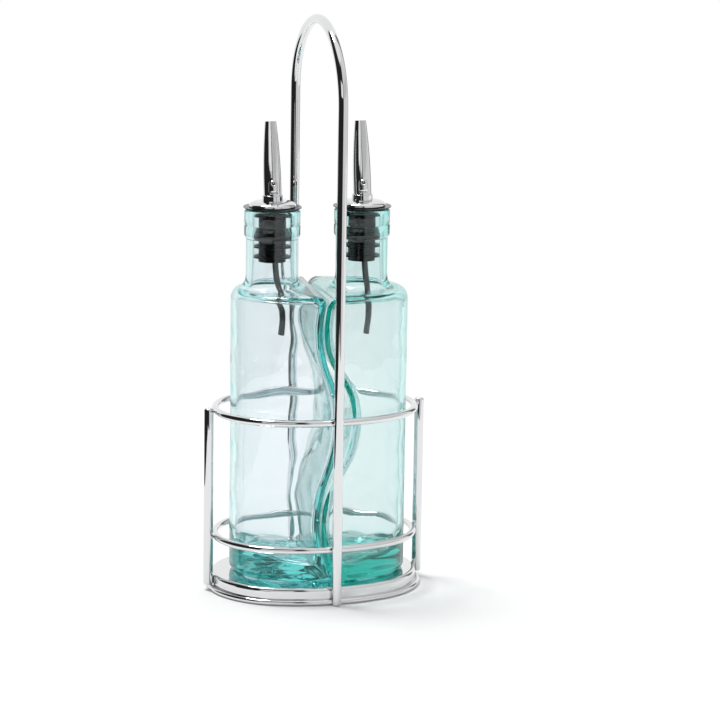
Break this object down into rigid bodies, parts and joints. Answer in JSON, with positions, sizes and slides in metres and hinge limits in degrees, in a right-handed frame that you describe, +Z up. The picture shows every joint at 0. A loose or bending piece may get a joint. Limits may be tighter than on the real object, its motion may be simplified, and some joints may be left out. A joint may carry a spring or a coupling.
{
  "type": "cruet set",
  "caption": "Wire rack with a tall arched handle holding interlocking wavy glass oil and vinegar bottles with pour spouts.",
  "frame": {"origin": "centre of the rack on the surface it stands on", "axes": "+Z up; X along the row of two bottles; -Y towards the viewer's side, where one leg of the handle stands"},
  "size_m": [0.136, 0.1068, 0.342],
  "materials": {
    "rack_chrome": "polished",
    "pourer_chrome": "polished",
    "left_glass": "clear, faint blue-green edge tint",
    "right_glass": "clear, slightly greener tint",
    "rubber": "matte",
    "flange_plastic": "glossy black",
    "tube_plastic": "dark, smooth"
  },
  "bodies": {
    "rack": {"base_tray": "rack_chrome", "base_bead": "rack_chrome", "handle_wire": "rack_chrome", "upper_ring": "rack_chrome", "lower_ring": "rack_chrome", "left_upright": "rack_chrome", "right_upright": "rack_chrome"},
    "left_bottle_body": {"left_bottle": "left_glass"},
    "left_sleeve": {"left_stopper": "rubber", "left_flange": "flange_plastic"},
    "left_head": {"left_dome": "pourer_chrome", "left_collar": "pourer_chrome", "left_spout": "pourer_chrome", "left_vent": "pourer_chrome", "left_air_tube": "tube_plastic"},
    "right_bottle_body": {"right_bottle": "right_glass"},
    "right_sleeve": {"right_stopper": "rubber", "right_flange": "flange_plastic"},
    "right_head": {"right_dome": "pourer_chrome", "right_collar": "pourer_chrome", "right_spout": "pourer_chrome", "right_vent": "pourer_chrome", "right_air_tube": "tube_plastic"}
  },
  "joints": [
    {"name": "left_bottle_lift", "type": "slide", "parent": "rack", "child": "left_bottle_body", "axis": [0, 0, 1], "range_m": [0, 0.11]},
    {"name": "right_bottle_lift", "type": "slide", "parent": "rack", "child": "right_bottle_body", "axis": [0, 0, 1], "range_m": [0, 0.11]},
    {"name": "left_pourer_pull", "type": "slide", "parent": "left_bottle_body", "child": "left_sleeve", "axis": [0, 0, 1], "range_m": [0, 0.078]},
    {"name": "left_spout_turn", "type": "hinge", "parent": "left_sleeve", "child": "left_head", "pos_m": [-0.02654, 0.00299, 0.228], "axis": [0, 0, 1], "continuous": true},
    {"name": "right_pourer_pull", "type": "slide", "parent": "right_bottle_body", "child": "right_sleeve", "axis": [0, 0, 1], "range_m": [0, 0.078]},
    {"name": "right_spout_turn", "type": "hinge", "parent": "right_sleeve", "child": "right_head", "pos_m": [0.02666, -0.0026, 0.228], "axis": [0, 0, 1], "continuous": true}
  ],
  "couplings": [
    {"joint": "right_bottle_lift", "follows": "left_bottle_lift", "ratio": 1}
  ]
}
